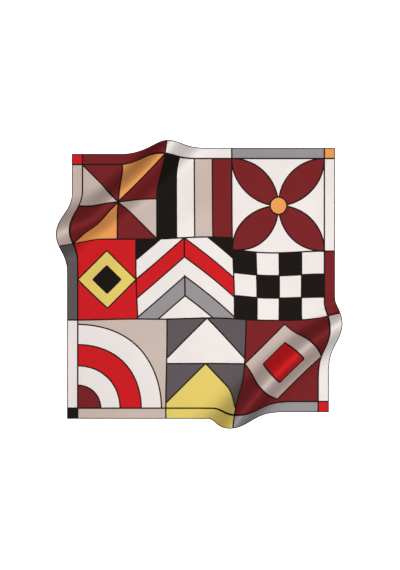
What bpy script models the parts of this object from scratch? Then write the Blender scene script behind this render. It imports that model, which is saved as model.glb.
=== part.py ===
"""Square silk headscarf laid out flat, with a soft ridge pushed up across two of its corners.

Run with: blender --background --python part.py

Metres, +Z up. The scarf lies face up on z = 0, with the top of its print at +Y. The origin is
on the surface under the middle of the laid outline. The cloth is first described flat, as cut,
by u to the right and v to the top from the middle of the square. lay() then carries each flat
point to its place on the surface or on a ridge, so every piece follows the same drape.
"""

from math import asin, cos, pi, radians, sin
from typing import NamedTuple

import bpy
import numpy as np

# The cut, in metres
CUT_WIDTH = 0.895  # finished, from hem to hem
CUT_HEIGHT = 0.905
CLOTH_WALL = 0.0012
HEM_WIDTH = 0.0030  # the edge rolled over itself and sewn down by hand
HEM_HEIGHT = 0.0024
SEAM_GAP = 0.0003  # between a hem and its neighbours

# How a ridge stands
CREST_SHARPNESS = 2.4  # the power of the smooth hump, which narrows it towards its crest
SLIDE_SHARE = 0.8  # of a ridge's reach, over which its corner's slide is taken up

# Fineness of the meshes
PANEL_STEP = 0.011  # between the grid lines that carry the panel
HEM_STEP = 0.009  # between the sections of a hem
HEM_SIDES = 8
SLOPE_STEP = 0.0005  # over which the cloth's slope is measured
SHARP_ANGLE = radians(40)


class Section(NamedTuple):
    """A cut across a ridge, in metres of flat cloth."""

    reach: float  # from the crest to either foot, on average
    rise: float  # of the crest above the surface
    lean: float  # the share by which the corner's side reaches further and the other less far
    flare: float  # how far the crest is drawn outwards along itself
    flare_reach: float  # from the middle of the flare to where it ends
    flare_shift: float  # of that middle from the crest, towards the corner


class Ridge(NamedTuple):
    """A ridge that cuts off one corner, from the scarf's side edge to its top or bottom edge."""

    corner: tuple[int, int]  # the corner's side in u and v
    from_side: float  # from the corner along the side edge to the crest
    from_end: float  # from the corner along the top or bottom edge to the crest
    bow: float  # of the crest towards the scarf's middle
    push: tuple[float, float]  # how far the corner is slid in, in x and y
    sections: tuple[Section, Section, Section]  # at the side edge, halfway, at the other edge


RIDGES = (
    Ridge(
        corner=(-1, 1),
        from_side=0.258,
        from_end=0.316,
        bow=0.021,
        push=(0.016, -0.020),
        sections=(
            Section(reach=0.151, rise=0.036, lean=-0.08, flare=0.046, flare_reach=0.126, flare_shift=0.006),
            Section(reach=0.123, rise=0.025, lean=-0.08, flare=0.0, flare_reach=0.088, flare_shift=0.0),
            Section(reach=0.127, rise=0.036, lean=-0.20, flare=0.045, flare_reach=0.135, flare_shift=0.029),
        ),
    ),
    Ridge(
        corner=(1, -1),
        from_side=0.296,
        from_end=0.309,
        bow=0.020,
        push=(-0.0205, 0.022),
        sections=(
            Section(reach=0.127, rise=0.030, lean=0.22, flare=0.040, flare_reach=0.121, flare_shift=0.015),
            Section(reach=0.131, rise=0.044, lean=0.04, flare=0.0, flare_reach=0.122, flare_shift=0.0),
            Section(reach=0.131, rise=0.054, lean=-0.16, flare=0.044, flare_reach=0.110, flare_shift=0.002),
        ),
    ),
)


class Finish(NamedTuple):
    """Colour and gloss of a piece."""

    name: str
    colour: tuple[float, float, float]
    roughness: float


PRINTED_TWILL = Finish("printed silk twill", (0.205, 0.022, 0.025), 0.45)
ROLLED_HEM = Finish("rolled silk hem", (0.105, 0.028, 0.036), 0.55)


def wave(x):
    """A smooth hump: 1 at 0, falling to 0 at -1 and 1."""
    return np.where(np.abs(x) < 1, (1 + np.cos(pi * x)) / 2, 0)


def take_up(x):
    """The share of the push that is used up on the way over a ridge, from -1 to 1.

    It grows fastest on the slopes and rests at the feet and the crest, where the cloth is level.
    """
    x = np.clip(x, -1, 1)
    return (1 + x) / 2 - np.sin(2 * pi * x) / (4 * pi)


def crest_places(ridge, u, v):
    """Where flat points lie by a ridge's crest, which is an arc.

    Returns the distance from the crest, positive towards the corner, the place along it, from
    -1 at the side edge to 1 at the other, and the crest's direction there.
    """
    side, end = ridge.corner
    start = np.array([side * CUT_WIDTH / 2, end * (CUT_HEIGHT / 2 - ridge.from_side)])
    stop = np.array([side * (CUT_WIDTH / 2 - ridge.from_end), end * CUT_HEIGHT / 2])
    middle = (start + stop) / 2
    half = np.linalg.norm(stop - start) / 2
    along = (stop - start) / (2 * half)
    across = np.array([-along[1], along[0]])
    across *= -np.sign(across @ middle)  # towards the scarf's middle
    radius = (half**2 + ridge.bow**2) / (2 * ridge.bow)
    centre = middle + across * (ridge.bow - radius)
    from_centre = np.stack([u - centre[0], v - centre[1]], axis=-1)
    turn = np.arctan2(from_centre @ along, from_centre @ across)
    direction = np.cos(turn)[..., None] * along - np.sin(turn)[..., None] * across
    return radius - np.linalg.norm(from_centre, axis=-1), turn / asin(half / radius), direction


def between(sections, name, place):
    """A size of the sections at each place along the crest, smooth through the middle one."""
    first, middle, last = (getattr(section, name) for section in sections)
    return middle + np.where(place < 0, first - middle, last - middle) * place**2


def drape(u, v):
    """The places of the underside over flat points, before the outline is centred."""
    laid = np.stack([u, v, np.zeros_like(u)], axis=-1)
    for ridge in RIDGES:
        across, place, direction = crest_places(ridge, u, v)
        lean = between(ridge.sections, "lean", place)
        reach = between(ridge.sections, "reach", place) * (1 + np.where(across > 0, lean, -lean))
        laid[..., :2] += take_up(across / (SLIDE_SHARE * reach))[..., None] * ridge.push
        rise = between(ridge.sections, "rise", place)
        laid[..., 2] += rise * wave(across / reach) ** CREST_SHARPNESS
        side_flare, end_flare = ridge.sections[0].flare, ridge.sections[2].flare
        drawn = np.where(place < 0, side_flare, end_flare) * place
        off = across - between(ridge.sections, "flare_shift", place)
        drawn *= wave(off / between(ridge.sections, "flare_reach", place))
        laid[..., :2] += drawn[..., None] * direction
    return laid


def outline_middle():
    """The middle of the box round the laid scarf, in x and y."""
    share = np.linspace(-0.5, 0.5, 2001)
    full = np.full_like(share, 0.5)
    u = np.concatenate([share, share, full, -full]) * CUT_WIDTH
    v = np.concatenate([full, -full, share, share]) * CUT_HEIGHT
    edge = drape(u, v)[:, :2]
    return (edge.min(axis=0) + edge.max(axis=0)) / 2


MIDDLE = outline_middle()


def lay(u, v, height):
    """The places of flat points raised by height, square to the cloth, above its underside."""
    u, v, height = np.broadcast_arrays(u, v, height)
    here = drape(u, v)
    to_right = drape(u + SLOPE_STEP, v) - drape(u - SLOPE_STEP, v)
    to_top = drape(u, v + SLOPE_STEP) - drape(u, v - SLOPE_STEP)
    outwards = np.cross(to_right, to_top)
    outwards /= np.linalg.norm(outwards, axis=-1, keepdims=True)
    here[..., :2] -= MIDDLE
    return here + outwards * height[..., None]


def steps(low, high, step):
    """Evenly spaced values from low to high, about a step apart."""
    return np.linspace(low, high, round((high - low) / step) + 1)


def material(finish):
    """A Principled material with the finish's colour and gloss."""
    made = bpy.data.materials.new(finish.name)
    made.use_nodes = True
    shader = made.node_tree.nodes["Principled BSDF"]
    shader.inputs["Base Color"].default_value = (*finish.colour, 1)
    shader.inputs["Roughness"].default_value = finish.roughness
    shader.inputs["Metallic"].default_value = 0
    made.diffuse_color = (*finish.colour, 1)
    return made


def add_piece(name, points, faces, finish):
    """A named object from points and faces, shaded smooth over its round stretches."""
    mesh = bpy.data.meshes.new(name)
    mesh.from_pydata([tuple(point) for point in points], [], faces)
    mesh.shade_smooth()
    mesh.set_sharp_from_angle(angle=SHARP_ANGLE)
    mesh.materials.append(material(finish))
    piece = bpy.data.objects.new(name, mesh)
    bpy.context.scene.collection.objects.link(piece)
    return piece


def sheet_faces(columns, rows):
    """Triangles over a grid of points seen from above, split along the ridges' diagonal."""
    faces = []
    for column in range(columns - 1):
        for row in range(rows - 1):
            low = column * rows + row
            right = low + rows
            faces.append((low, right, right + 1))
            faces.append((low, right + 1, low + 1))
    return faces


def rim(columns, rows):
    """The grid's border points, once round, anticlockwise seen from above."""
    bottom = [column * rows for column in range(columns - 1)]
    right = [(columns - 1) * rows + row for row in range(rows - 1)]
    top = [column * rows + rows - 1 for column in range(columns - 1, 0, -1)]
    left = list(range(rows - 1, 0, -1))
    return bottom + right + top + left


def panel():
    """The printed square, a wall of cloth that ends just inside its hems."""
    inset = HEM_WIDTH + SEAM_GAP
    across = steps(inset - CUT_WIDTH / 2, CUT_WIDTH / 2 - inset, PANEL_STEP)
    along = steps(inset - CUT_HEIGHT / 2, CUT_HEIGHT / 2 - inset, PANEL_STEP)
    u, v = np.meshgrid(across, along, indexing="ij")
    under = lay(u, v, np.zeros_like(u)).reshape(-1, 3)
    face = lay(u, v, np.full_like(u, CLOTH_WALL)).reshape(-1, 3)
    count = len(under)
    sheet = sheet_faces(len(across), len(along))
    faces = [tuple(count + point for point in corners) for corners in sheet]
    faces += [corners[::-1] for corners in sheet]
    border = rim(len(across), len(along))
    for here, after in zip(border, border[1:] + border[:1]):
        faces.append((here, after, count + after, count + here))
    return add_piece("panel", np.concatenate([under, face]), faces, PRINTED_TWILL)


def hem_section():
    """The hem's round section with a flat side down, as shares of its width and height."""
    turns = [2 * pi * (side + 0.5) / HEM_SIDES - pi / 2 for side in range(HEM_SIDES)]
    stretch = 0.5 / cos(pi / HEM_SIDES)
    return [(0.5 + stretch * cos(turn), 0.5 + stretch * sin(turn)) for turn in turns]


def hem(name, side, upright, low, high):
    """A rolled hem along one edge.

    side is -1 or 1 for the edge at the low or the high end of u, or of v if the hem isn't
    upright, and low and high are where the hem starts and stops along it.
    """
    stations = steps(low, high, HEM_STEP)
    half_cut = (CUT_WIDTH if upright else CUT_HEIGHT) / 2
    section = hem_section()
    points = []
    for station in stations:
        for inwards, up in section:
            out = side * (half_cut - inwards * HEM_WIDTH)
            u, v = (out, station) if upright else (station, out)
            points.append(lay(u, v, up * HEM_HEIGHT))
    faces = []
    for start in range(0, len(points) - HEM_SIDES, HEM_SIDES):
        for corner in range(HEM_SIDES):
            after = (corner + 1) % HEM_SIDES
            faces.append((start + corner, start + after, start + HEM_SIDES + after))
            faces.append((start + corner, start + HEM_SIDES + after, start + HEM_SIDES + corner))
    faces.append(tuple(range(HEM_SIDES))[::-1])
    faces.append(tuple(range(len(points) - HEM_SIDES, len(points))))
    if (side > 0) != upright:
        faces = [corners[::-1] for corners in faces]
    return add_piece(name, points, faces, ROLLED_HEM)


def hems():
    """Four rolled hems: the top and bottom ones run full width, the others fit between."""
    half_width = CUT_WIDTH / 2
    between_hems = CUT_HEIGHT / 2 - HEM_WIDTH - SEAM_GAP
    return [
        hem("hem_top", 1, False, -half_width, half_width),
        hem("hem_bottom", -1, False, -half_width, half_width),
        hem("hem_left", -1, True, -between_hems, between_hems),
        hem("hem_right", 1, True, -between_hems, between_hems),
    ]


def main():
    """Clears the file and lays the scarf out."""
    for thing in list(bpy.data.objects):
        bpy.data.objects.remove(thing, do_unlink=True)
    panel()
    hems()


main()
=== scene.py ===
"""A square silk-twill headscarf, laid out flat on a white table and seen from straight above.

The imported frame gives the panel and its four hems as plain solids. This script dresses them: a
fine shell of printed silk on the same drape, hand-rolled hems with their stitches, and the studio.
"""

import logging
import math
from collections.abc import Iterator
from dataclasses import dataclass, field, fields
from enum import Enum
from typing import Any

import bpy
import numpy as np
from bpy.types import Material, Mesh, Node, NodeSocket, NodeTree, Object
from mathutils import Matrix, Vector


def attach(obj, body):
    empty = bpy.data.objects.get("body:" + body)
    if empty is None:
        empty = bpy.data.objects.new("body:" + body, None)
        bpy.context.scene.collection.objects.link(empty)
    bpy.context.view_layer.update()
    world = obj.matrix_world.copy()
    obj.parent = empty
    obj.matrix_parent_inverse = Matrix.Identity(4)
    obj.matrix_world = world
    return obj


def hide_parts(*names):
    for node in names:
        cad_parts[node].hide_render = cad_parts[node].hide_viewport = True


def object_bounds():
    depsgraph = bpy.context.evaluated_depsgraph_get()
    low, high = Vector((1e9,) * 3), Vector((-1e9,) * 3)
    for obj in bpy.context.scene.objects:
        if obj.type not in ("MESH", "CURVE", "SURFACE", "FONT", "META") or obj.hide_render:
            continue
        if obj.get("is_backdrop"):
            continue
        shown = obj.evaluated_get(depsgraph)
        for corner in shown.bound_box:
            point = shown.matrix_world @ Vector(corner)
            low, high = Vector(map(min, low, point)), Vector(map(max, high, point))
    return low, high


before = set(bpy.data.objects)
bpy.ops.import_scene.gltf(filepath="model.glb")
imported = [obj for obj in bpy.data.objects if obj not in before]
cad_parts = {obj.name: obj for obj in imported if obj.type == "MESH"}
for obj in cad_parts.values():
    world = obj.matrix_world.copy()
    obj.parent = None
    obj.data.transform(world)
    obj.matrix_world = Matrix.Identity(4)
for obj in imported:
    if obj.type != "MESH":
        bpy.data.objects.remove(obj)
CAD_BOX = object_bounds()

BODY = "root"
MM = 0.001
CUT_WIDTH = 0.895  # finished, from hem to hem
CUT_HEIGHT = 0.905
HEM_WIDTH = 0.0030
HEM_HEIGHT = 0.0024
HEM_FOOT = 0.0011  # where the stitches lie, above the cloth's underside
SKIRT_SHARPNESS = 1.5  # the power of the smooth, broad hump under a ridge's steep one
FLAT_MAP = "flat_cloth"  # the panel's UV map: metres of flat cloth from its lower left corner
REVERSE_MARK = "reverse"  # the panel's attribute: 0 on the printed face, 1 on the back

log = logging.getLogger("headscarf")
Array = np.ndarray
Sockets = bpy.types.bpy_prop_collection  # of a node, by name or number


# ------------------------------ drape


def wave(x: Array) -> Array:
    """A smooth hump: 1 at 0, falling to 0 at -1 and 1."""
    return np.where(np.abs(x) < 1, (1 + np.cos(math.pi * x)) / 2, 0)


def take_up(x: Array) -> Array:
    """The share of a corner's slide that is used up on the way over a ridge, from -1 to 1."""
    x = np.clip(x, -1, 1)
    return (1 + x) / 2 - np.sin(2 * math.pi * x) / (4 * math.pi)


@dataclass(frozen=True)
class Section:
    """A cut across a ridge, in metres of flat cloth."""

    reach: float  # from the crest to either foot, on average
    rise: float  # of the crest above the surface
    lean: float  # the share by which the corner's side reaches further and the other less far
    flare: float  # how far the crest is drawn outwards along itself
    flare_reach: float  # from the middle of the flare to where it ends
    flare_shift: float  # of that middle from the crest, towards the corner


@dataclass(frozen=True)
class Ridge:
    """A ridge that cuts off one corner, from the side edge to the top or bottom edge."""

    corner: tuple[int, int]  # the corner's side in u and v
    from_side: float  # from the corner along the side edge to the crest
    from_end: float  # from the corner along the top or bottom edge to the crest
    bow: float  # of the crest towards the scarf's middle
    push: tuple[float, float]  # how far the corner is slid in, in x and y
    slide: float  # the share of the reach over which the slide is taken up
    sharpness: float  # the power of the steep hump, which narrows it towards its crest
    core: float  # the steep hump's share of the reach
    skirt: float  # the broad hump's share of the rise
    sections: tuple[Section, Section, Section]  # at the side edge, halfway, at the other edge

    def crest_places(self, u: Array, v: Array) -> tuple[Array, Array, Array]:
        """Where flat points lie by the crest, which is an arc.

        Args:
            u: Places to the right of the cut's middle, in metres.
            v: Places above the cut's middle, in metres.

        Returns:
            The distance from the crest, positive towards the corner, the place along it, from -1
            at the side edge to 1 at the other, and the crest's direction there.
        """
        side, end = self.corner
        start = np.array([side * CUT_WIDTH / 2, end * (CUT_HEIGHT / 2 - self.from_side)])
        stop = np.array([side * (CUT_WIDTH / 2 - self.from_end), end * CUT_HEIGHT / 2])
        middle = (start + stop) / 2
        half = np.linalg.norm(stop - start) / 2
        along = (stop - start) / (2 * half)
        across = np.array([-along[1], along[0]])
        across *= -np.sign(across @ middle)  # towards the scarf's middle
        radius = (half**2 + self.bow**2) / (2 * self.bow)
        centre = middle + across * (self.bow - radius)
        from_centre = np.stack([u - centre[0], v - centre[1]], axis=-1)
        turn = np.arctan2(from_centre @ along, from_centre @ across)
        direction = np.cos(turn)[..., None] * along - np.sin(turn)[..., None] * across
        distance = radius - np.linalg.norm(from_centre, axis=-1)
        return distance, turn / math.asin(half / radius), direction

    def size(self, name: str, place: Array) -> Array:
        """A size of the sections at each place along the crest.

        Args:
            name: The field of Section to read.
            place: Places along the crest, from -1 to 1.

        Returns:
            The size at each place, smooth through the middle section.
        """
        first, middle, last = (getattr(section, name) for section in self.sections)
        return middle + np.where(place < 0, first - middle, last - middle) * place**2

    def shift(self, u: Array, v: Array) -> Array:
        """How far the ridge carries flat points, in x, y and z.

        Args:
            u: Places to the right of the cut's middle, in metres.
            v: Places above the cut's middle, in metres.

        Returns:
            One row of x, y and z for each point, in metres.
        """
        across, place, direction = self.crest_places(u, v)
        lean = self.size("lean", place)
        reach = self.size("reach", place) * (1 + np.where(across > 0, lean, -lean))
        moved = np.zeros(across.shape + (3,))
        moved[..., :2] = take_up(across / (self.slide * reach))[..., None] * self.push
        steep = wave(across / (self.core * reach)) ** self.sharpness
        broad = wave(across / reach) ** SKIRT_SHARPNESS
        moved[..., 2] = self.size("rise", place) * (steep + self.skirt * (broad - steep))
        drawn = np.where(place < 0, self.sections[0].flare, self.sections[2].flare) * place
        off = across - self.size("flare_shift", place)
        drawn *= wave(off / self.size("flare_reach", place))
        moved[..., :2] += drawn[..., None] * direction
        return moved


# The soft cloth stands up to 6 mm higher or lower on the ridges than the plain solid, and the lower
# ridge's feet run out more gently.
UPPER_RIDGE = Ridge(
    corner=(-1, 1),
    from_side=0.258,
    from_end=0.316,
    bow=0.021,
    push=(0.016, -0.020),
    slide=0.8,
    sharpness=2.4,
    core=1.0,
    skirt=0.0,
    sections=(  # reach, rise, lean, flare, flare_reach, flare_shift
        Section(0.151, 0.041, -0.08, 0.046, 0.126, 0.006),
        Section(0.123, 0.030, -0.08, 0.0, 0.088, 0.0),
        Section(0.127, 0.041, -0.20, 0.045, 0.135, 0.029),
    ),
)
LOWER_RIDGE = Ridge(
    corner=(1, -1),
    from_side=0.292,
    from_end=0.307,
    bow=0.018,
    push=(-0.0206, 0.0221),
    slide=0.70,
    sharpness=2.0,
    core=0.68,
    skirt=0.42,
    sections=(  # reach, rise, lean, flare, flare_reach, flare_shift
        Section(0.1425, 0.0263, 0.17, 0.040, 0.121, 0.013),
        Section(0.1447, 0.0389, -0.06, 0.0, 0.1225, 0.0),
        Section(0.1497, 0.0586, -0.14, 0.046, 0.110, 0.0),
    ),
)


@dataclass(frozen=True)
class Sway:
    """A soft patch of cloth, inside the scarf, that lies a little to one side."""

    middle: tuple[float, float]
    reach: tuple[float, float]
    move: tuple[float, float]

    def shift(self, u: Array, v: Array) -> Array:
        """How far the patch carries flat points, as one row of x and y for each point."""
        share = wave((u - self.middle[0]) / self.reach[0]) * wave((v - self.middle[1]) / self.reach[1])
        return share[..., None] * self.move


@dataclass(frozen=True)
class Crease:
    """A shallow rise or trough of the cloth, long along its angle and narrow across it."""

    middle: tuple[float, float]
    length: float  # from the middle to either end
    width: float  # from the middle to either side
    height: float  # below 0 for a trough
    angle: float = 0.0  # of its length from the u axis, in degrees

    def rise(self, u: Array, v: Array) -> Array:
        """How far the crease lifts flat points.

        Args:
            u: Places to the right of the cut's middle, in metres.
            v: Places above the cut's middle, in metres.

        Returns:
            The lift of each point, in metres.
        """
        turn = math.radians(self.angle)
        from_u, from_v = u - self.middle[0], v - self.middle[1]
        along = from_u * math.cos(turn) + from_v * math.sin(turn)
        across = from_v * math.cos(turn) - from_u * math.sin(turn)
        return self.height * wave(along / self.length) * wave(across / self.width)


@dataclass(frozen=True)
class Pucker:
    """Small uneven waves along the edges, where the hem's stitches draw the cloth in."""

    reach: float = 0.022  # from the edge to where the waves have died away
    height: float = 0.0005
    lengths: tuple[float, ...] = (0.027, 0.041, 0.073)  # of the waves that add up
    drift: float = 9.0  # of the waves over a metre across them, in radians

    def rise(self, u: Array, v: Array) -> Array:
        """How far the puckers lift flat points.

        Args:
            u: Places to the right of the cut's middle, in metres.
            v: Places above the cut's middle, in metres.

        Returns:
            The lift of each point, in metres.
        """
        lifted = np.zeros_like(u)
        for place, edge, along in ((u, CUT_WIDTH / 2, v), (v, CUT_HEIGHT / 2, u)):
            turns = [2 * math.pi * along / length + place * self.drift for length in self.lengths]
            waves = sum(np.sin(turn) for turn in turns) / len(turns)
            lifted += wave((edge - np.abs(place)) / self.reach) * (1 + waves) / 2
        return lifted * self.height


@dataclass
class Drape:
    """How the flat cloth lies: two ridges, a gentle sway inside, creases and puckers."""

    clearance: float = 0.0002  # between the cloth's underside and the table
    slope_step: float = 0.0005  # over which the cloth's slope is measured
    edge_points: int = 2001  # on each edge, to find the outline's middle
    ridges: tuple[Ridge, ...] = (UPPER_RIDGE, LOWER_RIDGE)
    sways: tuple[Sway, ...] = (  # middle, reach, move
        Sway((-0.363, 0.247), (0.075, 0.075), (0.0072, -0.0090)),  # bends the crest
        Sway((0.02, 0.02), (0.20, 0.42), (0.002, 0.009)),
        Sway((0.24, 0.10), (0.17, 0.32), (0.003, -0.006)),
        Sway((-0.22, -0.18), (0.20, 0.24), (0.007, 0.004)),
        Sway((0.10, -0.10), (0.26, 0.30), (0.008, 0.0)),
    )
    creases: tuple[Crease, ...] = (  # middle, length, width, height, angle
        Crease((0.425, -0.048), 0.075, 0.020, 0.0020, 12),
        Crease((0.432, -0.094), 0.060, 0.017, 0.0016, 8),
        Crease((-0.425, 0.075), 0.070, 0.022, 0.0012, -14),
        Crease((-0.31, 0.03), 0.14, 0.055, 0.0014, 24),
        Crease((-0.05, 0.20), 0.21, 0.060, 0.0012, 40),
        Crease((0.26, 0.30), 0.16, 0.070, 0.0011, -30),
        Crease((-0.22, -0.26), 0.18, 0.070, 0.0013, 35),
        Crease((0.04, -0.10), 0.22, 0.060, 0.0012, 52),
        Crease((0.33, 0.04), 0.13, 0.050, 0.0013, 28),
    )
    pucker: Pucker = Pucker()
    middle: Array = field(init=False)

    def __post_init__(self) -> None:
        """Finds the middle of the laid outline, which is the frame's origin."""
        share = np.linspace(-0.5, 0.5, self.edge_points)
        full = np.full_like(share, 0.5)
        u = np.concatenate([share, share, full, -full]) * CUT_WIDTH
        v = np.concatenate([full, -full, share, share]) * CUT_HEIGHT
        edge = self.underside(u, v)[:, :2]
        self.middle = (edge.min(axis=0) + edge.max(axis=0)) / 2

    def underside(self, u: Array, v: Array) -> Array:
        """The places of the underside over flat points, before the outline is centred.

        Args:
            u: Places to the right of the cut's middle, in metres.
            v: Places above the cut's middle, in metres.

        Returns:
            One row of x, y and z for each point.
        """
        laid = np.stack([u, v, self.pucker.rise(u, v)], axis=-1)
        for ridge in self.ridges:
            laid += ridge.shift(u, v)
        for sway in self.sways:
            laid[..., :2] += sway.shift(u, v)
        for crease in self.creases:
            laid[..., 2] += crease.rise(u, v)
        return laid

    def lay(self, u: Array, v: Array, height: Array | float) -> Array:
        """The places of flat points raised square to the cloth.

        Args:
            u: Places to the right of the cut's middle, in metres.
            v: Places above the cut's middle, in metres.
            height: How far each point is above the cloth's underside.

        Returns:
            One row of x, y and z for each point, in the frame.
        """
        u, v, height = np.broadcast_arrays(u, v, height)
        here = self.underside(u, v)
        step = self.slope_step
        to_right = self.underside(u + step, v) - self.underside(u - step, v)
        to_top = self.underside(u, v + step) - self.underside(u, v - step)
        outwards = np.cross(to_right, to_top)
        outwards /= np.linalg.norm(outwards, axis=-1, keepdims=True)
        here[..., :2] -= self.middle
        here[..., 2] += self.clearance
        return here + outwards * height[..., None]


# ------------------------------ print


class Ink(Enum):
    """The dyes of the print, as sRGB hex values."""

    MAROON = "#7d272a"
    RED = "#d12126"
    ORANGE = "#eda05a"
    YELLOW = "#e8d06e"
    OFF_WHITE = "#f1e9e5"
    TAUPE = "#cfbcb3"
    GREY = "#9b9698"
    DARK_GREY = "#625a5c"
    BLACK = "#1f1a17"


@dataclass(frozen=True)
class Box:
    """A rounded box of the print, in millimetres from the cut's lower left corner."""

    middle: tuple[float, float]
    half: tuple[float, float]
    rounding: float = 3.0  # more than half an outline, which hides it
    turn: float = 0.0  # anticlockwise, in degrees


@dataclass(frozen=True)
class Patch:
    """A filled and outlined shape: a box, or the part of it inside a second box."""

    shape: Box
    ink: Ink
    window: Box | None = None


def disc(x: float, y: float, radius: float) -> Box:
    """A round box."""
    return Box((x, y), (radius, radius), radius)


@dataclass(frozen=True)
class Block:
    """A rectangle of the print with a ground colour, in millimetres."""

    left: float
    bottom: float
    right: float
    top: float
    ground: Ink

    @property
    def width(self) -> float:
        """From left to right."""
        return self.right - self.left

    @property
    def height(self) -> float:
        """From bottom to top."""
        return self.top - self.bottom

    @property
    def middle(self) -> tuple[float, float]:
        """The block's middle."""
        return (self.left + self.right) / 2, (self.bottom + self.top) / 2

    def part(self, left: float = 0, bottom: float = 0, right: float = 1, top: float = 1) -> Box:
        """A rectangle of the block, by shares of its width and height.

        Args:
            left: Where it starts across the block, from 0 to 1.
            bottom: Where it starts up the block.
            right: Where it ends across the block.
            top: Where it ends up the block.

        Returns:
            The rectangle.
        """
        return Box(
            (self.left + self.width * (left + right) / 2, self.bottom + self.height * (bottom + top) / 2),
            (self.width * (right - left) / 2, self.height * (top - bottom) / 2),
        )

    def motif(self) -> Iterator[Patch]:
        """The shapes on the ground. A plain block has none."""
        yield from ()

    def patches(self) -> Iterator[Patch]:
        """The ground and then the shapes on it."""
        yield Patch(self.part(), self.ground)
        yield from self.motif()


@dataclass(frozen=True)
class Stripes(Block):
    """Upright stripes of uneven width."""

    stripes: tuple[tuple[float, float, Ink], ...]  # from, to, as shares, and the dye

    def motif(self) -> Iterator[Patch]:
        """One patch for each stripe."""
        for start, stop, ink in self.stripes:
            yield Patch(self.part(left=start, right=stop), ink)


@dataclass(frozen=True)
class Pinwheel(Block):
    """Four squares round the middle, each split corner to corner."""

    sails: tuple[Ink, Ink, Ink, Ink]  # anticlockwise from the upper right

    def motif(self) -> Iterator[Patch]:
        """A square on its corner at the same corner of each cell, turned by quarters."""
        cells = ((0.5, 0.5), (0, 0.5), (0, 0), (0.5, 0))
        for quarter, (ink, (left, bottom)) in enumerate(zip(self.sails, cells)):
            cell = self.part(left, bottom, left + 0.5, bottom + 0.5)
            away = math.radians(45 + 90 * (quarter + 1))
            reach = math.hypot(*cell.half)
            x = cell.middle[0] + reach * math.cos(away)
            y = cell.middle[1] + reach * math.sin(away)
            yield Patch(Box((x, y), (reach, reach), turn=45), ink, cell)


@dataclass(frozen=True)
class Diamonds(Block):
    """Diamonds one inside the other."""

    diamonds: tuple[tuple[float, Ink], ...]  # each one's share of the block, and its dye

    def motif(self) -> Iterator[Patch]:
        """One patch for each diamond, the largest first."""
        for share, ink in self.diamonds:
            side = share * min(self.width, self.height) / math.sqrt(8)
            yield Patch(Box(self.middle, (side, side), turn=45), ink)


@dataclass(frozen=True)
class Petals(Block):
    """Four pointed petals that meet in the middle, round a small disc."""

    petal: Ink = Ink.MAROON
    heart: Ink = Ink.ORANGE
    heart_radius: float = 28.0

    def motif(self) -> Iterator[Patch]:
        """Each petal is what two discs share, and the heart lies over their points."""
        x, y = self.middle
        radius = self.width / 2
        for east, north in ((1, 1), (1, -1), (-1, -1), (-1, 1)):
            yield Patch(disc(x + east * radius, y, radius), self.petal, disc(x, y + north * radius, radius))
        yield Patch(disc(x, y, self.heart_radius), self.heart)


@dataclass(frozen=True)
class Fan(Block):
    """Rings round the block's lower left corner."""

    rings: tuple[tuple[float, Ink], ...]  # each one's outer radius as a share, and its dye

    def motif(self) -> Iterator[Patch]:
        """One patch for each ring, the largest first, so that the next one covers its inside."""
        for share, ink in self.rings:
            yield Patch(disc(self.left, self.bottom, share * self.width), ink, self.part())


@dataclass(frozen=True)
class Geese(Block):
    """Triangles twice as wide as high, one over the other, all pointing up."""

    geese: tuple[Ink, ...]  # the dyes, from the bottom

    def motif(self) -> Iterator[Patch]:
        """A square on its corner, cut by each row's rectangle, leaves one triangle."""
        row = self.height / len(self.geese)
        side = row / math.sqrt(2)
        for count, ink in enumerate(self.geese):
            low = self.bottom + count * row
            x = self.middle[0]
            cell = Box((x, low + row / 2), (self.width / 2, row / 2))
            yield Patch(Box((x, low), (side, side), turn=45), ink, cell)


@dataclass(frozen=True)
class Chevrons(Block):
    """Bands that rise to the block's middle and fall again."""

    bands: tuple[tuple[float, float, Ink], ...]  # from, to, as shares of the height, dye
    pitch: float = 40.0  # of the bands, in degrees

    def motif(self) -> Iterator[Patch]:
        """A leaning band in either half of the block."""
        pitch = math.radians(self.pitch)
        for start, stop, ink in self.bands:
            y = self.bottom + self.height * (start + stop) / 2 - self.width / 4 * math.tan(pitch)
            thick = self.height * (stop - start) / 2 * math.cos(pitch)
            for side, half in ((1, self.part(right=0.5)), (-1, self.part(left=0.5))):
                band = Box((half.middle[0], y), (self.width, thick), turn=side * self.pitch)
                yield Patch(band, ink, half)


@dataclass(frozen=True)
class Checks(Block):
    """A chequered rectangle."""

    across: int = 4
    up: int = 3
    ink: Ink = Ink.BLACK

    def motif(self) -> Iterator[Patch]:
        """Every second square."""
        wide, high = 1 / self.across, 1 / self.up
        for column in range(self.across):
            for row in range(column % 2, self.up, 2):
                left, low = column * wide, row * high
                yield Patch(self.part(left, low, left + wide, low + high), self.ink)


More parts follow.
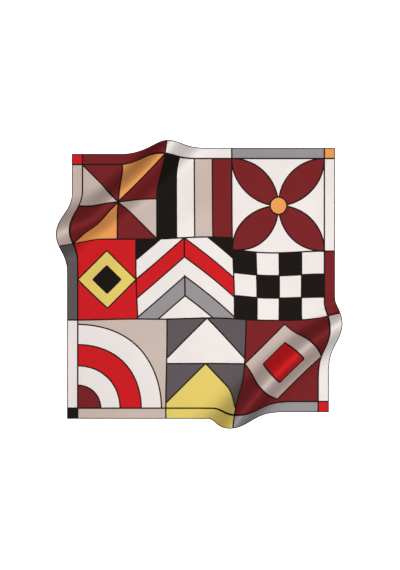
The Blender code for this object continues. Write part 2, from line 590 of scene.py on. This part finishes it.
@dataclass(frozen=True)
class PrintedDesign:
    """A sampler of common patchwork blocks inside a border, with black outlines."""

    blocks: tuple[Block, ...] = (
        # the border, clockwise from the lower left corner
        Block(0, 0, 36, 36, Ink.BLACK),
        Block(0, 36, 36, 330, Ink.OFF_WHITE),
        Block(0, 330, 36, 600, Ink.DARK_GREY),
        Block(0, 600, 36, 869, Ink.TAUPE),
        Block(0, 869, 36, 905, Ink.RED),
        Block(36, 869, 300, 905, Ink.MAROON),
        Block(300, 869, 550, 905, Ink.OFF_WHITE),
        Block(550, 869, 859, 905, Ink.GREY),
        Block(859, 869, 895, 905, Ink.ORANGE),
        Block(859, 560, 895, 869, Ink.OFF_WHITE),
        Block(859, 330, 895, 560, Ink.MAROON),
        Block(859, 36, 895, 330, Ink.OFF_WHITE),
        Block(859, 0, 895, 36, Ink.RED),
        Block(590, 0, 859, 36, Ink.GREY),
        Block(330, 0, 590, 36, Ink.YELLOW),
        Block(36, 0, 330, 36, Ink.TAUPE),
        # the blocks, from the top left
        Pinwheel(36, 600, 300, 869, Ink.MAROON, (Ink.ORANGE, Ink.TAUPE, Ink.ORANGE, Ink.TAUPE)),
        Stripes(
            300, 600, 550, 869, Ink.TAUPE,
            ((0, 0.26, Ink.BLACK), (0.26, 0.5, Ink.OFF_WHITE), (0.74, 1, Ink.MAROON)),
        ),
        Petals(550, 560, 859, 869, Ink.OFF_WHITE),
        Diamonds(36, 330, 230, 600, Ink.RED, ((1, Ink.YELLOW), (0.48, Ink.BLACK))),
        Chevrons(
            230, 330, 550, 600, Ink.OFF_WHITE,
            ((0.28, 0.52, Ink.GREY), (0.76, 1.0, Ink.RED), (1.24, 1.48, Ink.BLACK)),
        ),
        Checks(550, 330, 859, 560, Ink.OFF_WHITE),
        Fan(
            36, 36, 330, 330, Ink.TAUPE,
            ((0.95, Ink.OFF_WHITE), (0.72, Ink.RED), (0.48, Ink.OFF_WHITE), (0.26, Ink.MAROON)),
        ),
        Geese(330, 36, 590, 330, Ink.DARK_GREY, (Ink.YELLOW, Ink.OFF_WHITE)),
        Diamonds(590, 36, 859, 330, Ink.MAROON, ((1, Ink.TAUPE), (0.5, Ink.RED))),
    )
    line: float = 4.8  # width of the outlines
    soak: float = 0.6  # over which a dye's edge runs into the silk

    def patches(self) -> Iterator[Patch]:
        """All the shapes, in the order that they are printed."""
        for block in self.blocks:
            yield from block.patches()


# ------------------------------ nodes


def linear(hex_colour: str) -> tuple[float, float, float, float]:
    """An sRGB hex value as a linear colour.

    Args:
        hex_colour: The colour as #rrggbb.

    Returns:
        Red, green, blue and alpha, from 0 to 1.
    """
    shares = [int(hex_colour[at : at + 2], 16) / 255 for at in (1, 3, 5)]
    made = [x / 12.92 if x <= 0.04045 else ((x + 0.055) / 1.055) ** 2.4 for x in shares]
    return (*made, 1.0)


def add_node(tree: NodeTree, kind: str, inputs: dict[Any, Any] | None = None, **settings: Any) -> Node:
    """Adds a node with its settings, links and values.

    Args:
        tree: The tree that gets the node.
        kind: The node's type.
        inputs: For each input, by name or number, the socket that it takes or its value.
        **settings: The node's own properties.

    Returns:
        The node.
    """
    node = tree.nodes.new(kind)
    for name, value in settings.items():
        setattr(node, name, value)
    for key, value in (inputs or {}).items():
        if isinstance(value, NodeSocket):
            tree.links.new(value, node.inputs[key])
        else:
            node.inputs[key].default_value = value
    return node


def add(tree: NodeTree, kind: str, inputs: dict[Any, Any] | None = None, **settings: Any) -> NodeSocket:
    """Adds a node as add_node does, and gives its first output."""
    return add_node(tree, kind, inputs, **settings).outputs[0]


def compute(tree: NodeTree, operation: str, *values: Any, **settings: Any) -> NodeSocket:
    """Adds a Math node that works on sockets and numbers, and gives its result."""
    return add(tree, "ShaderNodeMath", dict(enumerate(values)), operation=operation, **settings)


def compute_vector(tree: NodeTree, operation: str, *values: Any) -> NodeSocket:
    """Adds a Vector Math node that works on sockets and vectors, and gives its result."""
    return add(tree, "ShaderNodeVectorMath", dict(enumerate(values)), operation=operation)


def mix(tree: NodeTree, share: NodeSocket, low: Any, high: Any) -> NodeSocket:
    """Adds a node that goes from one colour to another by a share, and gives the mixed colour."""
    return add_node(tree, "ShaderNodeMix", {0: share, 6: low, 7: high}, data_type="RGBA").outputs[2]


def add_sockets(tree: NodeTree, side: str, sockets: dict[str, str]) -> dict[str, str]:
    """Names a tree's inputs or outputs.

    Args:
        tree: The node group.
        side: INPUT or OUTPUT.
        sockets: The kind of each socket, by name, such as Float or Color.

    Returns:
        Each socket's identifier, by name.
    """
    return {
        name: tree.interface.new_socket(name, in_out=side, socket_type=f"NodeSocket{kind}").identifier
        for name, kind in sockets.items()
    }


def new_material(name: str) -> tuple[Material, NodeTree]:
    """Makes a material with no nodes yet.

    Args:
        name: The material's name.

    Returns:
        The material and its tree.
    """
    material = bpy.data.materials.new(name)
    material.use_nodes = True
    material.node_tree.nodes.clear()
    return material, material.node_tree


def finish_material(tree: NodeTree, inputs: dict[str, Any]) -> None:
    """Ends a material's tree with a Principled BSDF that takes the inputs."""
    shader = add(tree, "ShaderNodeBsdfPrincipled", inputs)
    add_node(tree, "ShaderNodeOutputMaterial", {"Surface": shader})


@dataclass(frozen=True)
class PatchPrinter:
    """The shader node groups that print a patch over the colour so far."""

    line: float  # width of the outlines, in metres
    soak: float  # over which a dye's edge runs into the silk, in metres

    def distance(self, tree: NodeTree, given: Node, prefix: str, turned: bool) -> NodeSocket:
        """Adds the nodes that measure how far a place is outside a rounded box.

        Args:
            tree: The group.
            given: The group's input node.
            prefix: The start of the names of the box's inputs.
            turned: Whether the box may stand at an angle.

        Returns:
            The socket with the distance, negative inside and never below minus the rounding.
        """
        middle, inner, rounding = (given.outputs[f"{prefix} {x}"] for x in ("middle", "inner", "rounding"))
        local = compute_vector(tree, "SUBTRACT", given.outputs["Place"], middle)
        if turned:
            turn = {"Vector": local, "Angle": given.outputs[f"{prefix} turn"]}
            local = add(tree, "ShaderNodeVectorRotate", turn, rotation_type="Z_AXIS")
        past = compute_vector(tree, "SUBTRACT", compute_vector(tree, "ABSOLUTE", local), inner)
        past = {0: compute_vector(tree, "MAXIMUM", past)}
        away = add_node(tree, "ShaderNodeVectorMath", past, operation="LENGTH").outputs["Value"]
        return compute(tree, "SUBTRACT", away, rounding)

    def group(self, windowed: bool) -> NodeTree:
        """Makes a group.

        Args:
            windowed: Whether the patch is cut by a second box.

        Returns:
            The group, with the colour so far, the place and the boxes as inputs.
        """
        tree = bpy.data.node_groups.new("windowed patch" if windowed else "patch", "ShaderNodeTree")
        sockets = {"Colour": "Color", "Place": "Vector", "Ink": "Color", "shape turn": "Float"}
        for prefix in ("shape", "window") if windowed else ("shape",):
            sockets[f"{prefix} middle"] = sockets[f"{prefix} inner"] = "Vector"
            sockets[f"{prefix} rounding"] = "Float"
        add_sockets(tree, "INPUT", sockets)
        add_sockets(tree, "OUTPUT", {"Colour": "Color"})
        given = add_node(tree, "NodeGroupInput")
        away = self.distance(tree, given, "shape", turned=True)
        if windowed:
            away = compute(tree, "MAXIMUM", away, self.distance(tree, given, "window", turned=False))
        colour = given.outputs["Colour"]
        for edge, over in ((self.line / 2, linear(Ink.BLACK.value)), (-self.line / 2, given.outputs["Ink"])):
            ramp = (away, -1 / self.soak, 0.5 + edge / self.soak)
            share = compute(tree, "MULTIPLY_ADD", *ramp, use_clamp=True)
            colour = mix(tree, share, colour, over)
        add_node(tree, "NodeGroupOutput", {"Colour": colour})
        return tree

    def sizes(self, prefix: str, box: Box) -> dict[str, Any]:
        """Sets out a box for the group's inputs.

        Args:
            prefix: The start of the names of the box's inputs.
            box: The box, in millimetres.

        Returns:
            The inputs' values by name, in metres.
        """
        inner = [(half - box.rounding) * MM for half in box.half]
        return {
            f"{prefix} middle": (box.middle[0] * MM, box.middle[1] * MM, 0),
            f"{prefix} inner": (*inner, 0),
            f"{prefix} rounding": box.rounding * MM,
        }

    def run(self, tree: NodeTree, place: NodeSocket, patches: Iterator[Patch]) -> NodeSocket:
        """Prints the patches one over the other.

        Args:
            tree: The material's tree.
            place: The socket with the place on the flat cloth, in metres.
            patches: What to print, in order.

        Returns:
            The socket with the printed colour.
        """
        groups = {windowed: self.group(windowed) for windowed in (False, True)}
        colour: Any = linear(Ink.OFF_WHITE.value)
        for patch in patches:
            windowed = patch.window is not None
            inputs = {"Colour": colour, "Place": place, "Ink": linear(patch.ink.value)}
            inputs |= self.sizes("shape", patch.shape)
            inputs["shape turn"] = -math.radians(patch.shape.turn)
            if windowed:
                inputs |= self.sizes("window", patch.window)
            colour = add(tree, "ShaderNodeGroup", inputs, node_tree=groups[windowed])
        return colour


# ------------------------------ finishes


WAVE_TEXTURE_TURN = math.pi / 10  # the Wave Texture's scale for one band in a metre


@dataclass(frozen=True)
class PrintedTwill:
    """Silk twill, woven of fine filament yarn and screen-printed: a broad gloss in the dye's tint.

    The gloss is as strong as the matt share on level cloth and dies away on the slopes, so the
    ridges' sides look dark, and next to none of it is white.
    """

    design: PrintedDesign = PrintedDesign()
    rib: float = 0.0022  # the real ribs are 0.5 mm apart; drawn coarser, or they wouldn't show
    rib_lean: float = 63.0  # of the ribs from the weft, in degrees
    rib_depth: float = 0.00004
    slub: tuple[float, float] = (0.0024, 0.11)  # width and length of the yarn's uneven streaks
    slub_share: float = 0.030  # how much the streaks change the colour
    cloud: float = 0.14  # across the patches where the dye took a little more or less
    cloud_share: float = 0.035
    reverse_fade: float = 0.30  # how much paler the print shows through on the back
    roughness: tuple[float, float] = (0.52, 0.58)  # between and on the streaks
    metallic: float = 0.21  # dyed filament tints what it reflects, as a metal does
    specular: float = 0.01  # the white share of the gloss
    sheen: float = 0.02
    sheen_roughness: float = 0.35

    def material(self) -> Material:
        """Makes the material."""
        material, tree = new_material("screen-printed silk twill")
        flat = add(tree, "ShaderNodeUVMap", uv_map=FLAT_MAP)
        printer = PatchPrinter(self.design.line * MM, self.design.soak * MM)
        colour = printer.run(tree, flat, self.design.patches())
        streaks = self.streaks(tree, flat)
        clouds = add(tree, "ShaderNodeTexNoise", {"Vector": flat, "Scale": 1 / self.cloud, "Detail": 3.0})
        colour = self.shade(tree, colour, streaks, self.slub_share)
        colour = self.shade(tree, colour, clouds, self.cloud_share)
        rough = {0: streaks, 3: self.roughness[0], 4: self.roughness[1]}
        inputs = {
            "Base Color": self.fade_reverse(tree, colour),
            "Roughness": add(tree, "ShaderNodeMapRange", rough),
            "Metallic": self.metallic,
            "Specular IOR Level": self.specular,
            "Sheen Weight": self.sheen,
            "Sheen Roughness": self.sheen_roughness,
            "Normal": self.ribs(tree, flat, streaks),
        }
        finish_material(tree, inputs)
        return material

    def streaks(self, tree: NodeTree, flat: NodeSocket) -> NodeSocket:
        """Adds the yarns' unevenness along warp and weft.

        Args:
            tree: The material's tree.
            flat: The socket with the place on the flat cloth.

        Returns:
            The socket with a share from 0 to 1.
        """
        across, along = self.slub
        both = []
        for scale in ((1 / across, 1 / along, 1), (1 / along, 1 / across, 1)):
            stretched = add(tree, "ShaderNodeMapping", {"Vector": flat, "Scale": scale})
            both.append(add(tree, "ShaderNodeTexNoise", {"Vector": stretched, "Scale": 1.0, "Detail": 2.0}))
        return compute(tree, "MULTIPLY", compute(tree, "ADD", *both), 0.5)

    def shade(self, tree: NodeTree, colour: NodeSocket, share: NodeSocket, strength: float) -> NodeSocket:
        """Makes a colour a little lighter and darker by turns.

        Args:
            tree: The material's tree.
            colour: The socket with the colour.
            share: The socket with a share about 0.5.
            strength: How far a share of 0.25 or 0.75 changes the colour.

        Returns:
            The socket with the new colour.
        """
        gain = compute(tree, "MULTIPLY_ADD", share, 4 * strength, 1 - 2 * strength)
        return add(tree, "ShaderNodeVectorMath", {0: colour, "Scale": gain}, operation="SCALE")

    def fade_reverse(self, tree: NodeTree, colour: NodeSocket) -> NodeSocket:
        """Makes the colour paler on the back, where the dye only shows through.

        Args:
            tree: The material's tree.
            colour: The socket with the colour.

        Returns:
            The socket with the new colour.
        """
        mark = add_node(tree, "ShaderNodeAttribute", attribute_name=REVERSE_MARK).outputs["Fac"]
        share = compute(tree, "MULTIPLY", mark, self.reverse_fade)
        return mix(tree, share, colour, linear(Ink.OFF_WHITE.value))

    def ribs(self, tree: NodeTree, flat: NodeSocket, streaks: NodeSocket) -> NodeSocket:
        """Adds the twill's leaning ribs, broken up by the uneven yarn.

        Args:
            tree: The material's tree.
            flat: The socket with the place on the flat cloth.
            streaks: The socket with the yarn's unevenness.

        Returns:
            The socket with the bumped normal.
        """
        lean = (0, 0, math.radians(90 - self.rib_lean))
        leant = add(tree, "ShaderNodeMapping", {"Vector": flat, "Rotation": lean})
        bands = {"Vector": leant, "Scale": WAVE_TEXTURE_TURN / self.rib}
        bands = add_node(tree, "ShaderNodeTexWave", bands).outputs["Fac"]
        bump = {"Height": compute(tree, "ADD", bands, streaks), "Distance": self.rib_depth, "Strength": 1.0}
        return add(tree, "ShaderNodeBump", bump)


@dataclass(frozen=True)
class DyedSilk:
    """Plain dyed silk, as a rolled edge or a twisted thread: soft gloss along uneven folds, with painted
    shade where the yarns dip.
    """

    name: str
    colour: str
    shade: str  # painted shade: the darker colour where the yarns dip, at the bump's low places
    grain: float  # length of the unevenness, in metres
    depth: float
    roughness: float
    metallic: float = 0.15
    specular: float = 0.2  # the white share of the gloss
    sheen: float = 0.05

    def material(self) -> Material:
        """Makes the material."""
        material, tree = new_material(self.name)
        place = add_node(tree, "ShaderNodeTexCoord").outputs["Object"]
        noise = add(tree, "ShaderNodeTexNoise", {"Vector": place, "Scale": 1 / self.grain, "Detail": 3.0})
        bump = {"Height": noise, "Distance": self.depth, "Strength": 1.0}
        inputs = {
            # painted shade: the colour goes to the shade colour where the bump's noise is low, in the yarns'
            # dips
            "Base Color": mix(tree, noise, linear(self.shade), linear(self.colour)),
            "Roughness": self.roughness,
            "Metallic": self.metallic,
            "Specular IOR Level": self.specular,
            "Sheen Weight": self.sheen,
            "Normal": add(tree, "ShaderNodeBump", bump),
        }
        finish_material(tree, inputs)
        return material


# ------------------------------ pieces


def add_object(name: str, mesh: Mesh) -> Object:
    """Puts a mesh into the scene as an object at the origin.

    Args:
        name: The object's name.
        mesh: Its mesh.

    Returns:
        The object.
    """
    made = bpy.data.objects.new(name, mesh)
    bpy.context.scene.collection.objects.link(made)
    return made


@dataclass(frozen=True)
class SilkPanel:
    """The printed square: a thin closed shell on the drape."""

    drape: Drape
    finish: PrintedTwill = PrintedTwill()
    name: str = "silk_panel"
    thickness: float = 0.0005
    inset: float = HEM_WIDTH / 2  # the panel's edge lies hidden inside the rolled hem
    step: float = 0.0048  # between grid lines
    edge_step: float = 0.0022  # between the first grid lines along the hems
    edge_lines: int = 7

    def lines(self, half: float) -> Array:
        """The places of the grid lines from one edge to the other.

        Args:
            half: Half the cut's width or height.

        Returns:
            The places, closer together along both edges.
        """
        end = half - self.inset
        near = end - np.arange(self.edge_lines) * self.edge_step
        count = round(2 * near[-1] / self.step)
        return np.concatenate([-near[:-1], np.linspace(-near[-1], near[-1], count + 1), near[-2::-1]])

    def build(self) -> Object:
        """Builds the shell with its flat map and its mark for the back."""
        across, up = self.lines(CUT_WIDTH / 2), self.lines(CUT_HEIGHT / 2)
        u, v = np.meshgrid(across, up, indexing="ij")
        under = self.drape.lay(u, v, 0.0).reshape(-1, 3)
        face = self.drape.lay(u, v, self.thickness).reshape(-1, 3)
        number = np.arange(u.size).reshape(u.shape)
        corners = (number[:-1, :-1], number[1:, :-1], number[1:, 1:], number[:-1, 1:])
        quads = np.stack(corners, axis=-1).reshape(-1, 4)
        rim = np.concatenate([number[:-1, 0], number[-1, :-1], number[:0:-1, -1], number[0, :0:-1]])
        after = np.roll(rim, -1)
        walls = np.stack([rim, after, after + u.size, rim + u.size], axis=-1)
        faces = np.concatenate([quads + u.size, quads[:, ::-1], walls])
        mesh = bpy.data.meshes.new(self.name)
        mesh.from_pydata(np.concatenate([under, face]).tolist(), [], faces.tolist())
        self.mark(mesh, u, v)
        mesh.shade_smooth()
        mesh.materials.append(self.finish.material())
        return add_object(self.name, mesh)

    def mark(self, mesh: Mesh, u: Array, v: Array) -> None:
        """Gives the mesh its flat map and its mark for the back.

        Args:
            mesh: The shell, with the underside's points first.
            u: The points' places to the right of the cut's middle.
            v: The points' places above the cut's middle.
        """
        flat = np.stack([u.ravel() + CUT_WIDTH / 2, v.ravel() + CUT_HEIGHT / 2], axis=-1)
        corner_points = np.zeros(len(mesh.loops), dtype=np.int32)
        mesh.loops.foreach_get("vertex_index", corner_points)
        layer = mesh.uv_layers.new(name=FLAT_MAP)
        layer.uv.foreach_set("vector", np.tile(flat, (2, 1))[corner_points].astype(np.float32).ravel())
        mark = mesh.attributes.new(REVERSE_MARK, "FLOAT", "POINT")
        mark.data.foreach_set("value", np.repeat([1.0, 0.0], u.size).astype(np.float32))


class Edge(Enum):
    """The four edges: whether it is upright, and its side in u or v."""

    TOP = (False, 1)
    RIGHT = (True, 1)
    BOTTOM = (False, -1)
    LEFT = (True, -1)

    @property
    def upright(self) -> bool:
        """Whether the edge runs along v."""
        return self.value[0]

    @property
    def side(self) -> int:
        """1 at the high end of u or v and -1 at the low end."""
        return self.value[1]

    def path(self, drape: Drape, inset: float, height: float, short: float, step: float) -> Array:
        """Points along the edge, on the drape.

        Args:
            drape: How the cloth lies.
            inset: From the cut's edge to the path.
            height: Of the path above the cloth's underside.
            short: From the path's ends to the cut's corners.
            step: Between points.

        Returns:
            One row of x, y and z for each point.
        """
        half_run = (CUT_HEIGHT if self.upright else CUT_WIDTH) / 2 - short
        run = np.linspace(-half_run, half_run, round(2 * half_run / step) + 1)
        out = np.full_like(run, self.side * ((CUT_WIDTH if self.upright else CUT_HEIGHT) / 2 - inset))
        return drape.lay(out, run, height) if self.upright else drape.lay(run, out, height)


SOCKET_KINDS = {float: "Float", int: "Int", Material: "Material"}


@dataclass(frozen=True)
class Trim:
    """What Geometry Nodes grow along one edge of the square. Each kind of trim fills in the rest."""

    edge: Edge
    drape: Drape
    kind: str = "trim"  # the start of the piece's name
    step: float = 0.003  # between points of the path

    @property
    def name(self) -> str:
        """The piece's name."""
        return f"{self.kind}_{self.edge.name.lower()}"

    @property
    def path(self) -> Array:
        """The points that the piece follows."""
        raise NotImplementedError

    def grow(self, tree: NodeTree, given: Sockets, curve: NodeSocket) -> NodeSocket:
        """Adds the nodes that grow the piece along a curve.

        Args:
            tree: The Geometry Nodes tree.
            given: The sockets of the tree's inputs.
            curve: The socket with the evenly stepped path.

        Returns:
            The socket with the piece's geometry.
        """
        raise NotImplementedError

    def values(self, material: Material) -> dict[str, Any]:
        """Gathers the tree's inputs besides the path.

        Args:
            material: What the piece is made of.

        Returns:
            The numbers among the piece's fields, a fixed seed and the material, by name.
        """
        sizes = {item.name: getattr(self, item.name) for item in fields(self)}
        sizes = {name: size for name, size in sizes.items() if isinstance(size, (float, int))}
        return sizes | {"seed": list(Edge).index(self.edge), "material": material}

    def tree(self, values: dict[str, Any]) -> tuple[NodeTree, dict[str, str]]:
        """Makes the Geometry Nodes tree.

        Args:
            values: The tree's inputs besides the path, whose types give the sockets' kinds.

        Returns:
            The tree, and the identifiers of its inputs by name.
        """
        tree = bpy.data.node_groups.new(self.name, "GeometryNodeTree")
        kinds = {name: SOCKET_KINDS[type(value)] for name, value in values.items()}
        identifiers = add_sockets(tree, "INPUT", {"path": "Geometry"} | kinds)
        add_sockets(tree, "OUTPUT", {"piece": "Geometry"})
        given = add_node(tree, "NodeGroupInput").outputs
        curve = {"Curve": add(tree, "GeometryNodeMeshToCurve", {0: given["path"]}), "Length": given["step"]}
        curve = add(tree, "GeometryNodeResampleCurve", curve, mode="LENGTH")
        grown = add(tree, "GeometryNodeSetShadeSmooth", {0: self.grow(tree, given, curve)})
        real = add(tree, "GeometryNodeRealizeInstances", {0: grown})
        dressed = add(tree, "GeometryNodeSetMaterial", {0: real, "Material": given["material"]})
        add_node(tree, "NodeGroupOutput", {0: dressed})
        return tree, identifiers

    def build(self, material: Material) -> Object:
        """Grows the piece and keeps it as a plain mesh.

        Args:
            material: What the piece is made of.

        Returns:
            The piece, with no modifier left.
        """
        values = self.values(material)
        tree, identifiers = self.tree(values)
        path = self.path.tolist()
        guide = bpy.data.meshes.new(self.name)
        guide.from_pydata(path, [(at, at + 1) for at in range(len(path) - 1)], [])
        made = add_object(self.name, guide)
        modifier = made.modifiers.new("grow", "NODES")
        modifier.node_group = tree
        for name, value in values.items():
            modifier[identifiers[name]] = value
        bpy.context.view_layer.update()
        seen = made.evaluated_get(bpy.context.evaluated_depsgraph_get())
        mesh = bpy.data.meshes.new_from_object(seen)
        made.modifiers.remove(modifier)
        made.data = mesh
        bpy.data.meshes.remove(guide)
        mesh.name = self.name
        return made


@dataclass(frozen=True)
class RolledHem(Trim):
    """One edge of the square, rolled over itself by hand into a narrow round cord of cloth."""

    kind: str = "rolled_hem"
    width: float = HEM_WIDTH
    height: float = HEM_HEIGHT
    unevenness: float = 0.10  # how much thicker or thinner the roll gets
    sides: int = 10
    lump: float = 0.011  # length of the unevenness

    @property
    def node(self) -> str:
        """The plain solid that the hem stands for."""
        return f"hem_{self.edge.name.lower()}"

    @property
    def path(self) -> Array:
        """The roll's middle. The upright hems stop short of the level ones."""
        short = HEM_WIDTH / 2 if self.edge.upright else 0.0
        return self.edge.path(self.drape, self.width / 2, self.height / 2, short, self.step)

    def grow(self, tree: NodeTree, given: Sockets, curve: NodeSocket) -> NodeSocket:
        """Sweeps an oval of uneven size along the curve.

        Args:
            tree: The Geometry Nodes tree.
            given: The sockets of the tree's inputs.
            curve: The socket with the evenly stepped path.

        Returns:
            The socket with the roll.
        """
        curve = add(tree, "GeometryNodeSetCurveNormal", {0: curve}, mode="Z_UP")
        noise = {"Scale": compute(tree, "DIVIDE", 1.0, given["lump"]), "W": given["seed"], "Detail": 1.0}
        noise = add(tree, "ShaderNodeTexNoise", noise, noise_dimensions="4D")
        swing = compute(tree, "MULTIPLY_ADD", noise, 2.0, -1.0)
        thick = compute(tree, "MULTIPLY_ADD", swing, given["unevenness"], 1.0)
        ring = {"Resolution": given["sides"], "Radius": 0.5}
        ring = add(tree, "GeometryNodeCurvePrimitiveCircle", ring)
        size = add(tree, "ShaderNodeCombineXYZ", {0: given["width"], 1: given["height"], 2: 1.0})
        oval = add(tree, "GeometryNodeTransform", {0: ring, "Scale": size})
        rolled = {"Curve": curve, "Profile Curve": oval, "Scale": thick, "Fill Caps": True}
        return add(tree, "GeometryNodeCurveToMesh", rolled)


@dataclass(frozen=True)
class HemStitches(Trim):
    """The small slanting stitches that hold a rolled hem down, one every few millimetres."""

    kind: str = "stitches"
    step: float = 0.0045  # between stitches
    length: float = 0.0019
    thickness: float = 0.00045
    slant: float = math.radians(38)  # from the hem
    jitter: float = math.radians(9)  # of the slant, either way
    segments: int = 8  # round a stitch
    rings: int = 5  # along it

    @property
    def path(self) -> Array:
        """The roll's inner foot, clear of the corners."""
        return self.edge.path(self.drape, HEM_WIDTH, HEM_FOOT, 2 * HEM_WIDTH, self.step)

    def grow(self, tree: NodeTree, given: Sockets, curve: NodeSocket) -> NodeSocket:
        """Lays a slender ball at each point of the curve, at an uneven slant.

        Args:
            tree: The Geometry Nodes tree.
            given: The sockets of the tree's inputs.
            curve: The socket with the evenly stepped path.

        Returns:
            The socket with the balls.
        """
        facing = {"Primary Axis": add(tree, "GeometryNodeInputTangent"), "Secondary Axis": (0.0, 0.0, 1.0)}
        facing = add(tree, "FunctionNodeAxesToRotation", facing, primary_axis="X", secondary_axis="Z")
        low = compute(tree, "SUBTRACT", given["slant"], given["jitter"])
        high = compute(tree, "ADD", given["slant"], given["jitter"])
        lean = {2: low, 3: high, "Seed": given["seed"]}
        lean = add_node(tree, "FunctionNodeRandomValue", lean).outputs[1]
        turned = {"Rotation": facing, "Rotate By": add(tree, "ShaderNodeCombineXYZ", {2: lean})}
        turned = add(tree, "FunctionNodeRotateRotation", turned, rotation_space="LOCAL")
        ball = {"Segments": given["segments"], "Rings": given["rings"], "Radius": 0.5}
        ball = add(tree, "GeometryNodeMeshUVSphere", ball)
        size = {0: given["length"], 1: given["thickness"], 2: given["thickness"]}
        size = add(tree, "ShaderNodeCombineXYZ", size)
        laid = {"Points": curve, "Instance": ball, "Rotation": turned, "Scale": size}
        return add(tree, "GeometryNodeInstanceOnPoints", laid)


# ------------------------------ studio


@dataclass(frozen=True)
class Studio:
    """A white table, a large soft key light, a white room, and a camera straight overhead."""

    camera_height: float = 4.0
    camera_middle: tuple[float, float] = (0.00182, -0.00327)
    view_height: float = 1.9027  # of the table, from the top of the picture to its bottom
    sensor: float = 36.0  # mm, along the picture's longer side
    table_size: float = 100.0  # so wide that its edge shows from no side
    table_colour: str = "#ffffff"
    table_glow: float = 1.0  # keeps the table as white as the picture's ground
    table_roughness: float = 0.9
    room_colour: str = "#ffffff"
    room_strength: float = 0.015  # of its light on the cloth
    room_glow: float = 1.0  # of the room itself, as the camera sees it
    key_tilt: float = 5.8  # of the key light from overhead, in degrees
    key_bearing: float = -8.0  # anticlockwise from +X: it stands a little to the right
    key_distance: float = 8.0
    key_size: float = 2.4
    key_power: float = 470.0  # watts

    def build(self) -> None:
        """Sets up the table, the lights and the camera."""
        bpy.context.scene.view_settings.view_transform = "Standard"
        self.lay_table()
        self.light_room()
        self.hang_key()
        self.aim_camera()

    def lay_table(self) -> None:
        """Lays the white table just under the cloth."""
        half = self.table_size / 2
        mesh = bpy.data.meshes.new("table")
        corners = [(-half, -half, 0), (half, -half, 0), (half, half, 0), (-half, half, 0)]
        mesh.from_pydata(corners, [], [(0, 1, 2, 3)])
        material, tree = new_material("matt white table")
        colour = linear(self.table_colour)
        inputs = {"Base Color": colour, "Roughness": self.table_roughness, "Specular IOR Level": 0.1}
        finish_material(tree, inputs | {"Emission Color": colour, "Emission Strength": self.table_glow})
        mesh.materials.append(material)
        table = add_object("table", mesh)
        table.visible_diffuse = table.visible_glossy = False  # or it would light the ridges' sides
        table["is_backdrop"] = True

    def light_room(self) -> None:
        """Fills the room with even white light."""
        world = bpy.data.worlds.new("white room")
        world.use_nodes = True
        tree = world.node_tree
        tree.nodes.clear()
        seen = add_node(tree, "ShaderNodeLightPath").outputs["Is Camera Ray"]
        strength = {0: seen, 3: self.room_strength, 4: self.room_glow}
        strength = add(tree, "ShaderNodeMapRange", strength)
        inputs = {"Color": linear(self.room_colour), "Strength": strength}
        add_node(tree, "ShaderNodeOutputWorld", {"Surface": add(tree, "ShaderNodeBackground", inputs)})
        bpy.context.scene.world = world

    def hang_key(self) -> None:
        """Hangs the key light, aimed at the scarf's middle."""
        tilt, bearing = math.radians(self.key_tilt), math.radians(self.key_bearing)
        lamp = bpy.data.lights.new("key", "AREA")
        lamp.shape = "DISK"
        lamp.size = self.key_size
        lamp.energy = self.key_power
        key = bpy.data.objects.new("key", lamp)
        across = self.key_distance * math.sin(tilt)
        key.location = (
            across * math.cos(bearing),
            across * math.sin(bearing),
            self.key_distance * math.cos(tilt),
        )
        key.rotation_euler = (0, tilt, bearing)
        key.visible_camera = False
        bpy.context.scene.collection.objects.link(key)

    def aim_camera(self) -> None:
        """Hangs the camera straight above, looking down, with +Y up."""
        lens = bpy.data.cameras.new("camera")
        lens.sensor_width = self.sensor
        lens.lens = self.sensor * self.camera_height / self.view_height
        camera = bpy.data.objects.new("camera", lens)
        camera.location = (*self.camera_middle, self.camera_height)
        bpy.context.scene.collection.objects.link(camera)
        bpy.context.scene.camera = camera


# ------------------------------ scene


def place(piece: Object, slot: str, replaced: str | None = None) -> Object:
    """Ties a finished piece to the frame.

    Args:
        piece: The piece.
        slot: The name of a material slot in the record; not used.
        replaced: The plain solid that it stands for, if any.

    Returns:
        The piece.
    """
    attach(piece, BODY)
    if replaced:
        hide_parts(replaced)
    log.info("%s: %d faces", piece.name, len(piece.data.polygons))
    return piece


def write_sizes() -> None:
    """Gathers the boxes of the plain solids and of what shows, and keeps neither."""
    boxes = {"cad": CAD_BOX, "visual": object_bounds()}
    {name: [list(corner) for corner in box] for name, box in boxes.items()}


def main() -> None:
    """Builds the studio and the scarf."""
    logging.basicConfig(level=logging.INFO, format="%(name)s: %(message)s")
    Studio().build()
    drape = Drape()
    # the second colour of each silk is its painted shade in the yarns' dips
    rolled_silk = DyedSilk("rolled silk hem", "#3f1c21", "#2b1115", 0.0035, 0.00012, 0.55).material()
    thread = DyedSilk("twisted silk thread", "#5f343a", "#42202a", 0.0008, 0.00005, 0.50).material()
    panel = place(SilkPanel(drape).build(), "printed_silk", "panel")
    for edge in Edge:
        hem = RolledHem(edge, drape)
        place(hem.build(rolled_silk), "rolled_hem", hem.node)
        place(HemStitches(edge, drape).build(thread), "rolled_hem")
    write_sizes()


if __name__ == "__main__":
    main()
